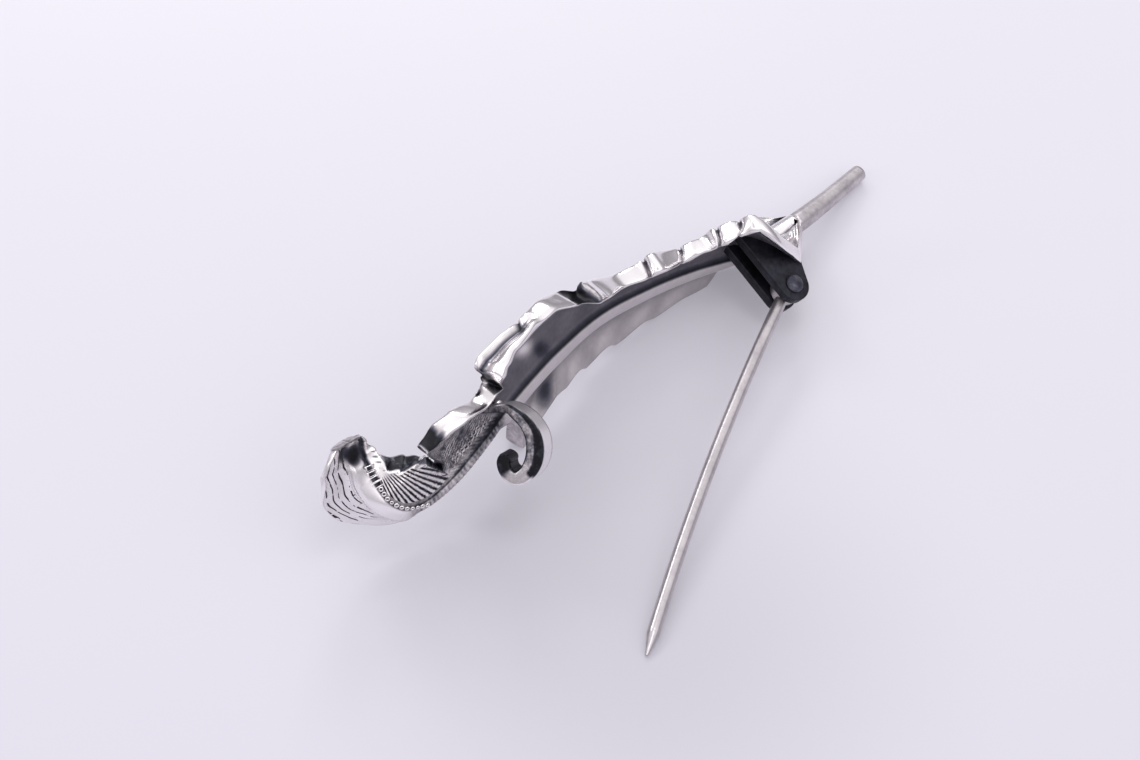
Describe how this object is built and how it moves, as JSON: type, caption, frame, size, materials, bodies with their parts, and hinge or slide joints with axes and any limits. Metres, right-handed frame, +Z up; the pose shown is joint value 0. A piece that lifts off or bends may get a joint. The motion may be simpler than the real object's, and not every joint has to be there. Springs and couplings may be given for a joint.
{
  "type": "feather brooch",
  "caption": "Cast feather brooch with a curled tip, a hinged pin stem on two ears and a curled band catch behind it.",
  "frame": {"origin": "centre of the part's box at the table that it lies on", "axes": "+Z up from the table, +X to the right and +Y away from someone who looks at the lying brooch, with the tip of the feather at the left and its quill at the far right"},
  "size_m": [0.0426, 0.0476, 0.0136],
  "materials": {
    "oxidised_silver": "cast sterling silver, polished on its edges and ridges, blackened in its grooves and on its back",
    "rivet_silver": "hammered silver rivet, dull and darkened round its heads",
    "wire_silver": "drawn silver wire, polished, with fine marks along its length"
  },
  "bodies": {
    "brooch": {"feather": "oxidised_silver", "hinge_rivet": "rivet_silver"},
    "stem": {"pin_stem": "wire_silver"}
  },
  "joints": [
    {"name": "pin_hinge", "type": "hinge", "parent": "brooch", "child": "stem", "pos_m": [0.01424, 0.00868, 0.00359], "axis": [0.4325, -0.2346, 0.8706], "range_deg": [-24, 100]}
  ]
}
